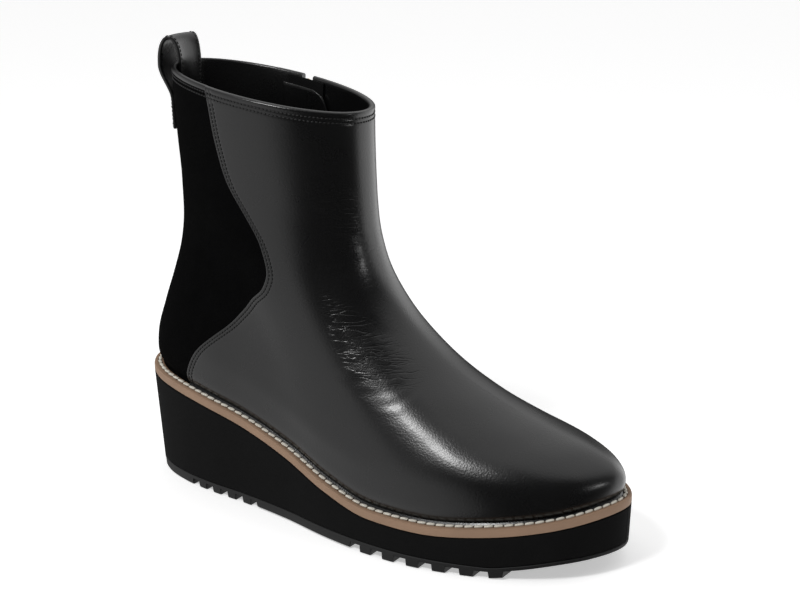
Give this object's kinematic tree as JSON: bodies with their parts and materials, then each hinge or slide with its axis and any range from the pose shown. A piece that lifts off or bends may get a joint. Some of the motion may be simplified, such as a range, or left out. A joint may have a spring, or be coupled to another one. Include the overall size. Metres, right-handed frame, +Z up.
{
  "type": "ankle boot",
  "caption": "Right ankle boot with a smooth leather front, suede heel panel, inner-side zip, heel pull loop and lugged wedge sole with a stitched welt.",
  "frame": {"origin": "on the floor under the middle of the heel, on a heel lug", "axes": "+X towards the toe, +Y towards the foot's inner side, +Z up"},
  "size_m": [0.2681, 0.0968, 0.2244],
  "materials": {
    "outsole": "matte",
    "wedge": "matte foam",
    "welt": "satin",
    "insole": "matte",
    "upper": "semi gloss",
    "pull_loop": "satin",
    "zip_tape": "matte",
    "zip_guard": "satin",
    "zip_chain": "satin",
    "zip_slider": "polished",
    "zip_pull_tab": "polished"
  },
  "bodies": {
    "boot": {"outsole": "outsole", "wedge": "wedge", "welt": "welt", "insole": "insole", "upper": "upper", "pull_loop": "pull_loop", "zip_tape": "zip_tape", "zip_guard": "zip_guard", "zip_chain": "zip_chain", "zip_slider": "zip_slider"},
    "pull_tab": {"zip_pull_tab": "zip_pull_tab"}
  },
  "joints": [
    {"name": "pull_tab_hinge", "type": "hinge", "parent": "boot", "child": "pull_tab", "pos_m": [0.02637, 0.03516, 0.18802], "axis": [0.9997, 0.0239, 0], "range_deg": [0, 165]}
  ]
}
